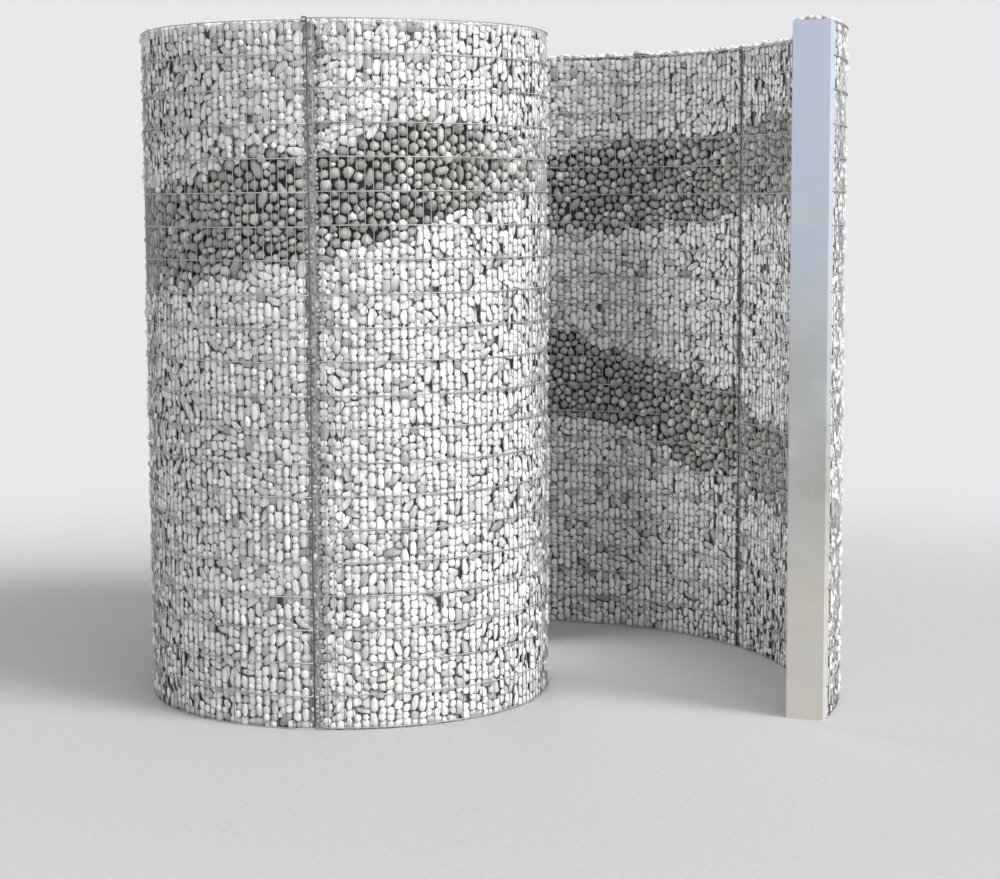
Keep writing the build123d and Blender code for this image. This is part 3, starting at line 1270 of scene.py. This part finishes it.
    def seam_pebbles(self, seam: int) -> Piece:
        """Small stones in the narrow space between a seam's post and its rods, on both faces.

        Args:
            seam: Number of the seam from 1.

        Returns:
            The piece.
        """
        sec, plan = self.section, self.plan
        middle = plan.stations[seam]
        batch = Batch()
        for face in Face:
            at = float(plan.to_face(np.array(middle), self._skin(face)))
            before, after = self._zone(face)
            low = (at - before - self.zone_lap, 0.004)
            high = (at + after + self.zone_lap, sec.top - self.seam_top)
            packing = Packing(low, high, 700 + 2 * seam + face.value)
            packing.take(packing.scatter(SMALL))
            packing.relax(self.seam_rounds[0])
            random = packing.random
            stone = self._lengthen(packing, self.seam_joined, self.seam_rounds[1])
            stones = packing.outlines(stone, SMALL, reach=1.3)
            count = len(stones.radius)
            depth = stones.radius * random.uniform(*SMALL.half_depth, count)
            front = self.seam_face - np.minimum(random.exponential(SMALL.sink, count), self.seam_deepest)
            local, faces, rim = stones.shells(front, depth, face is Face.INNER, SMALL.form)
            dark = in_bands(face, np.full(count, middle), stones.at[:, 1])
            # Painted shade of the seam's recess: besides the band stones, stones turn dark at these odds,
            # the higher one up to the shade side past the seam.
            odds = np.where(stones.at[:, 0] < at + self.shade_side, *self.seam_painted_shade)
            dark |= random.uniform(0, 1, count) < odds
            batch.add(self._on_face(local, face), faces, rim, dark, random)
        return batch.piece(f"seam_pebbles_{seam}", self.finish, f"stone_fill_bay_{seam}")

    def core(self, bay: int) -> Piece:
        """A closed body inside the pebbles, painted in shade, which stands for the stones further in.

        A darker slab stands a little proud of it behind each dark band. Each is a rectangle between two
        offsets and two heights, carried along the wall by length.

        Args:
            bay: Number of the bay from 0.

        Returns:
            The piece.
        """
        sec, plan = self.section, self.plan
        steps, sunk, proud, lap = 64, 0.004, 0.001, 0.004
        clear = sec.post_half + 0.002
        start, end = plan.run(bay, self.end_gap, clear, clear)
        length = np.linspace(start, end, steps)
        half = self.core_half
        bars = [(-half, half, np.full(steps, 0.004), np.full(steps, sec.top - 0.022))]
        for face in Face:
            sides = sorted((face.value * (half - sunk), face.value * (half + proud)))
            for band in BANDS[face]:
                low, high = band.edges(length)
                bars.append((*sides, low - lap, high + lap))
        offset = np.array([[[near, far, far, near]] * steps for near, far, _, _ in bars])
        height = np.stack([np.stack([low, low, high, high], axis=1) for _, _, low, high in bars])
        points = plan.place(length[None, :, None], offset, height)
        numbers = np.arange(offset.size).reshape(offset.shape)
        after = np.roll(numbers, -1, axis=2)
        walls = np.stack([numbers[:, :-1], numbers[:, 1:], after[:, 1:], after[:, :-1]], axis=-1)
        ends = np.concatenate([numbers[:, 0], numbers[:, -1, ::-1]])
        # The slabs behind the dark bands get the near-black painted shade.
        dark = np.repeat(np.arange(len(bars)) > 0, steps * 4)
        piece = add_mesh(f"inner_stones_bay_{bay + 1}", points.reshape(-1, 3), [walls.reshape(-1, 4), ends],
                         self.core_painted_shade, smooth=False, dark=dark)
        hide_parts(f"stone_fill_bay_{bay + 1}")
        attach(piece, "root")
        return piece


def upright_places(plan: Plan, section: Section, bay: int, face: Face) -> Array:
    """Places of a bay's uprights, even along the face between its edge wires.

    Args:
        plan: The wall's plan.
        section: Its sizes.
        bay: Number of the bay from 0.
        face: Which face.

    Returns:
        Lengths on the middle line.
    """
    edge = section.edge_wire
    start, end = plan.run(bay, section.cap_flange + section.flange_gap, edge, edge)
    offset = face.value * section.upright_wire
    low, high = plan.to_face(np.array([start, end]), offset)
    places = np.linspace(low, high, int(round((high - low) / section.upright_pitch)) + 1)
    return plan.to_middle(places, offset)


@dataclass
class WireMesh:
    """The welded mesh: fine uprights, and level wires welded outside them."""

    plan: Plan
    section: Section
    finish: Material
    lifts: tuple[float, ...] = (0.001, 0.002, 0.001, 0.0, 0.0042)
    wave: float = 0.0004
    lean: float = 0.0006
    sag: float = 0.0008
    foot: float = 0.0005
    steps: int = 19

    def bay_face(self, bay: int, face: Face) -> Piece:
        """Both sets of wires on one face of a bay.

        A wire's offset is its place in the section plus a slow wave in height and length, because rolled
        panels are never quite true. An upright leans a little, and a level wire sags in a slow wave.

        Args:
            bay: Number of the bay from 0.
            face: Which face.

        Returns:
            The piece.
        """
        sec, plan = self.section, self.plan
        random = np.random.default_rng(40 + 2 * bay + (face is Face.OUTER))
        phase = random.uniform(0, 2 * pi, 3)

        def out(length: Array, height: Array, base: float) -> Array:
            """Offset of a wire's middle, with the slow wave."""
            bend = np.sin(length * 9 + height * 2.6 + phase[0]) + np.sin(height * 5.1 + phase[1])
            return face.value * (base + self.wave * bend)

        up = upright_places(plan, sec, bay, face)
        heights = np.linspace(0.0, sec.top, 6)
        heights[0] = self.foot
        length, height = np.meshgrid(up, heights + self.lifts[bay] * 0.5, indexing="ij")
        lean = random.normal(0, self.lean, (len(up), 2))
        length = length + lean[:, :1] + (lean[:, 1:] - lean[:, :1]) * height / sec.top
        lines = plan.place(length, out(length, height, sec.upright_wire), height)
        across = plan.outwards(length)
        along = np.stack([-across[..., 1], across[..., 0], across[..., 2]], axis=-1)
        bars, walls = sweep(lines, across, along, sec.upright_radius, 4)

        span = plan.run(bay, sec.cap_flange - sec.wire_lap, sec.seam_gap / 2, sec.seam_gap / 2)
        rows = sec.wire / 2 + sec.pitch * np.arange(sec.rows + 1) + self.lifts[bay]
        height, length = np.meshgrid(rows, np.linspace(*span, self.steps), indexing="ij")
        sag = self.sag * np.sin(length * 5.0 + random.uniform(0, 2 * pi, (len(rows), 1)))
        height = height + sag * (height > 0.01)
        lines = plan.place(length, out(length, height, sec.level_wire), height)
        across = plan.outwards(length)
        upward = np.zeros_like(across)
        upward[..., 2] = 1.0
        more, others = sweep(lines, upward, across, sec.wire / 2, 5)
        faces = [*walls, *[block + len(bars) for block in others]]
        name = f"{face.word}_mesh_bay_{bay + 1}"
        piece = add_mesh(name, np.concatenate([bars, more]), faces, self.finish)
        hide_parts(f"{face.word}_hoops_bay_{bay + 1}", f"{face.word}_uprights_bay_{bay + 1}")
        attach(piece, "root")
        return piece


@dataclass
class LockingRods:
    """The round rods that lock the baskets at a seam, each bent into an eye at the top."""

    plan: Plan
    section: Section
    finish: Material
    radius: float = 0.0025
    eye: float = 0.0068
    foot: float = 0.006
    offset: float = 0.0572
    bend: float = 0.012
    eye_turn: float = 1.94 * pi

    def pair(self, seam: int) -> Piece:
        """Both rods of a seam.

        The line goes straight up beside the eye, then once round a circle of the eye's radius; the bar's
        section stays square to it, because across the wall is square to the eye's plane.

        Args:
            seam: Number of the seam from 1.

        Returns:
            The piece.
        """
        sec, plan = self.section, self.plan
        middle = plan.stations[seam]
        centre = sec.top - 0.001
        turn = np.linspace(0.0, self.eye_turn, 25)
        stem = np.array([self.foot, 0.7, 1.4, centre - self.bend])
        along = np.concatenate([np.zeros(len(stem)), self.eye * (np.cos(turn) - 1)])
        height = np.concatenate([stem, centre + self.eye * np.sin(turn)])
        out = plan.outwards(np.array(middle))
        run, up = np.array([-out[1], out[0], 0.0]), np.array([0.0, 0.0, 1.0])
        points, faces, count = [], [], 0
        for face in Face:
            path = np.stack([face.value * along, height], axis=1)
            tangent = np.gradient(path, axis=0)
            tangent /= np.linalg.norm(tangent, axis=1, keepdims=True)
            line = plan.place(np.array(middle), face.value * self.offset, 0.0)
            line = line + path[:, :1] * run + path[:, 1:] * up
            direction = tangent[:, :1] * run + tangent[:, 1:] * up
            first = np.broadcast_to(out, direction.shape)
            second = np.cross(direction, first)
            bar, blocks = sweep(line[None], first[None], second[None], self.radius, 8)
            faces += [block + count for block in blocks]
            points.append(bar)
            count += len(bar)
        piece = add_mesh(f"locking_rods_{seam}", np.concatenate(points), faces, self.finish)
        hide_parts(f"locking_rods_seam_{seam}")
        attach(piece, "root")
        return piece


@dataclass(frozen=True)
class Studio:
    """The pale floor, the light and the camera."""

    eye: Triple = (0.024, -7.335, 1.55)
    pitch: float = 6.027
    roll: float = 0.195
    focal_pixels: float = 2174.0
    width: int = 1000
    sensor: float = 36.0
    sun: Triple = (0.66, -0.38, 0.65)
    sun_strength: float = 2.35
    sun_spread: float = 25.0
    fill: Triple = (0.42, -0.68, 0.60)
    fill_strength: float = 0.85
    fill_spread: float = 50.0
    sky: Triple = (0.93, 0.97, 1.0)
    sky_strength: float = 0.64
    backdrop: Triple = (0.80, 0.81, 0.82)
    court: Triple = (0.0, 0.35, 1.1)
    court_back: Triple = (-0.5, 0.87, 0.0)
    court_size: Pair = (0.5, 1.8)
    court_power: float = 10.0
    floor_radius: float = 14.0
    floor_fade: Pair = (1.9, 5.5)

    def floor(self) -> Piece:
        """A round floor that fades into the backdrop's colour with distance, as the camera sees it.

        Returns:
            The floor.
        """
        turn = np.linspace(0, 2 * pi, 97)[:-1]
        points = np.stack([self.floor_radius * np.cos(turn), self.floor_radius * np.sin(turn),
                           np.zeros_like(turn)], axis=1)
        material, g = new_material("floor")
        place = g.place()
        distance = Number(g, g.add("ShaderNodeVectorMath", {"operation": "LENGTH"}, {0: place}).outputs[1])
        camera = Number(g, g.add("ShaderNodeLightPath").outputs["Is Camera Ray"])
        speck = g.noise(place, 60.0, 3.0)
        colour = g.mix(speck.ramp(0.3, 0.7), grey(0.48, 0.006), grey(0.52, 0.006))
        paint = g.add("ShaderNodeBsdfPrincipled", inputs={"Base Color": colour, "Roughness": 0.8})
        glow = g.add("ShaderNodeEmission", inputs={"Color": (*self.backdrop, 1.0)})
        fade = distance.ramp(*self.floor_fade) * camera
        both = g.add("ShaderNodeMixShader", inputs={0: fade, 1: paint.outputs[0], 2: glow.outputs[0]})
        g.add("ShaderNodeOutputMaterial", inputs={0: both.outputs[0]})
        floor = add_mesh("studio_floor", points, [np.arange(len(points))[None]], material, smooth=False)
        return floor

    @staticmethod
    def lamp(name: str, kind: str, strength: float, towards: Triple,
             **settings: object) -> bpy.types.Object:
        """Add a lamp.

        Args:
            name: Name of the lamp.
            kind: Blender's kind of lamp.
            strength: Its strength or power.
            towards: Direction that the light comes from.
            settings: Other settings of the lamp.

        Returns:
            The lamp, linked to the scene.
        """
        data = bpy.data.lights.new(name, kind)
        data.energy = strength
        for key, value in settings.items():
            setattr(data, key, value)
        lamp = bpy.data.objects.new(name, data)
        lamp.rotation_euler = Vector(towards).to_track_quat("Z", "Y").to_euler()
        bpy.context.scene.collection.objects.link(lamp)
        return lamp

    def light(self) -> None:
        """A key from the right, a broad fill from the front, a soft lamp in the court and a pale sky.

        The court's tall lamp stands for the light that its white walls share. The camera and gloss see
        the backdrop instead of the sky.
        """
        self.lamp("key", "SUN", self.sun_strength, self.sun, angle=radians(self.sun_spread))
        self.lamp("fill", "SUN", self.fill_strength, self.fill, angle=radians(self.fill_spread))
        court = self.lamp("court", "AREA", self.court_power, self.court_back, shape="RECTANGLE",
                          size=self.court_size[0], size_y=self.court_size[1])
        court.location = self.court
        court.visible_camera = False
        world = bpy.data.worlds.new("sky")
        world.use_nodes = True
        bpy.context.scene.world = world
        g = Graph(world.node_tree)
        path = g.add("ShaderNodeLightPath")
        seen = sum(Number(g, path.outputs[name])
                   for name in ("Is Camera Ray", "Is Glossy Ray", "Is Transmission Ray"))
        sky = g.add("ShaderNodeBackground", inputs={0: (*self.sky, 1.0), 1: self.sky_strength})
        back = g.add("ShaderNodeBackground", inputs={0: (*self.backdrop, 1.0)})
        both = g.add("ShaderNodeMixShader", inputs={0: seen, 1: sky.outputs[0], 2: back.outputs[0]})
        g.add("ShaderNodeOutputWorld", inputs={0: both.outputs[0]})

    def camera(self) -> None:
        """The camera at the photograph's place, level but for a small pitch and roll."""
        data = bpy.data.cameras.new("camera")
        data.sensor_fit = "HORIZONTAL"
        data.sensor_width = self.sensor
        data.lens = self.sensor * self.focal_pixels / self.width
        data.clip_end = 200.0
        camera = bpy.data.objects.new("camera", data)
        tilt, roll = radians(90 - self.pitch), -radians(self.roll)
        turn = Matrix.Rotation(tilt, 4, "X") @ Matrix.Rotation(roll, 4, "Z")
        camera.matrix_world = Matrix.Translation(self.eye) @ turn
        bpy.context.scene.collection.objects.link(camera)
        bpy.context.scene.camera = camera


def dress(nodes: dict[str, Piece], names: list[str], finish: Material) -> None:
    """Give CAD nodes a finish.

    Args:
        nodes: The CAD nodes by name.
        names: Names of those to dress.
        finish: The material.
    """
    for name in names:
        nodes[name].data.materials.clear()
        nodes[name].data.materials.append(finish)


def main() -> None:
    logging.basicConfig(level=logging.INFO, format="%(message)s")
    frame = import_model()
    section = Section()
    plan = Plan.from_cap(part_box("outer_end_cap")[1], section.cap_flange, section.cap_half)
    log.info("back arc centre %s, wall length %.3f", plan.centre, plan.length)
    wire = GalvanisedFinish("mesh_wire", 0.42, 0.25).make()
    stones = StoneFill(plan, section, PebbleFinish().make(), CorePaintedShade().make())
    mesh = WireMesh(plan, section, wire)
    rods = LockingRods(plan, section, GalvanisedFinish("rod_steel", 0.13, 0.4).make())
    pieces = []
    for bay in range(plan.bays):
        for face in Face:
            pieces.append(stones.face_pebbles(bay, face))
            pieces.append(mesh.bay_face(bay, face))
        pieces.append(stones.top_pebbles(bay))
        pieces.append(stones.core(bay))
    for seam in range(1, plan.bays):
        pieces.append(stones.seam_pebbles(seam))
        pieces.append(rods.pair(seam))
    dress(frame["nodes"], ["outer_end_cap", "inner_end_cap"], SheetFinish().make())
    posts = [f"seam_post_{seam}" for seam in range(1, plan.bays)]
    dress(frame["nodes"], posts, GalvanisedFinish("post_steel", 0.5, 0.6, 60.0).make())
    total = 0
    for piece in pieces:
        triangles = sum(len(face.vertices) - 2 for face in piece.data.polygons)
        total += triangles
        log.info("%s: %d triangles", piece.name, triangles)
    log.info("all pieces: %d triangles", total)
    studio = Studio()
    studio.floor()
    studio.light()
    studio.camera()
    bpy.context.scene.view_settings.view_transform = "Standard"


if __name__ == "__main__":
    main()
